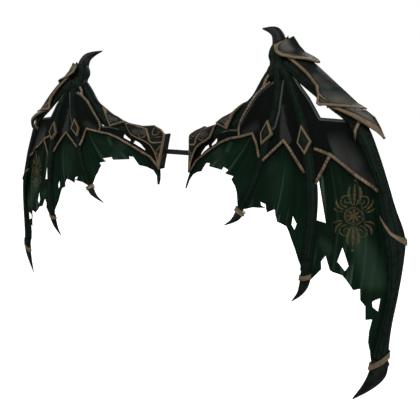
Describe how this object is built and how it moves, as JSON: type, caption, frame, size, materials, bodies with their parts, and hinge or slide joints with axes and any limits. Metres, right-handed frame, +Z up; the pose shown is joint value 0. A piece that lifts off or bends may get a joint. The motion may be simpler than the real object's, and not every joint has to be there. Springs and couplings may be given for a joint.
{
  "type": "pair of costume dragon wings",
  "caption": "Pair of worn dragon wings with finger bones, claws, dark webs, torn green membranes, gold trims and bossed shoulder plates, joined by a bar between the roots.",
  "frame": {"origin": "middle of the front face of the bar between the wing roots, where the wearer's back is", "axes": "+Z up, +Y forward to the wearer's back, +X across to the wearer's right wing tip"},
  "size_m": [1.2118, 0.2174, 0.7601],
  "materials": {
    "membrane": "dark green cloth, matt, with pale crease lines and a gold printed emblem on the outer panel",
    "web": "near-black leather with a soft grey sheen",
    "bone": "dark green moulded foam, painted, with a satin grey sheen along the ridges",
    "claw": "near-black, satin to gloss",
    "plate": "dark green-grey armour look with aged gold rims and scrolls",
    "gold": "aged brown gold, worn, with a coarse ribbed surface"
  },
  "bodies": {
    "root": {"right_arm": "bone", "right_thumb_claw": "claw", "right_root_plate": "plate", "right_arm_plate": "plate", "right_finger_inner": "bone", "right_finger_middle": "bone", "right_finger_outer": "bone", "right_claw_inner": "claw", "right_claw_middle": "claw", "right_claw_outer": "claw", "right_ring_inner": "gold", "right_ring_middle": "gold", "right_ring_outer": "gold", "right_ring_blade": "gold", "right_strap_blade": "gold", "right_shoulder_plate": "plate", "right_long_plate": "plate", "right_spike_plate": "plate", "right_diamond_inner": "gold", "right_diamond_middle": "gold", "right_web_inner": "web", "right_web_middle": "web", "right_web_outer": "web", "right_membrane_inner": "membrane", "right_membrane_middle": "membrane", "right_membrane_outer": "membrane", "right_trim_inner": "gold", "right_trim_middle": "gold", "right_trim_outer": "gold", "left_arm": "bone", "left_thumb_claw": "claw", "left_root_plate": "plate", "left_arm_plate": "plate", "left_finger_inner": "bone", "left_finger_middle": "bone", "left_finger_outer": "bone", "left_claw_inner": "claw", "left_claw_middle": "claw", "left_claw_outer": "claw", "left_ring_inner": "gold", "left_ring_middle": "gold", "left_ring_outer": "gold", "left_ring_blade": "gold", "left_strap_blade": "gold", "left_shoulder_plate": "plate", "left_long_plate": "plate", "left_spike_plate": "plate", "left_diamond_inner": "gold", "left_diamond_middle": "gold", "left_web_inner": "web", "left_web_middle": "web", "left_web_outer": "web", "left_membrane_inner": "membrane", "left_membrane_middle": "membrane", "left_membrane_outer": "membrane", "left_trim_inner": "gold", "left_trim_middle": "gold", "left_trim_outer": "gold", "back_bar": "bone"}
  },
  "joints": []
}
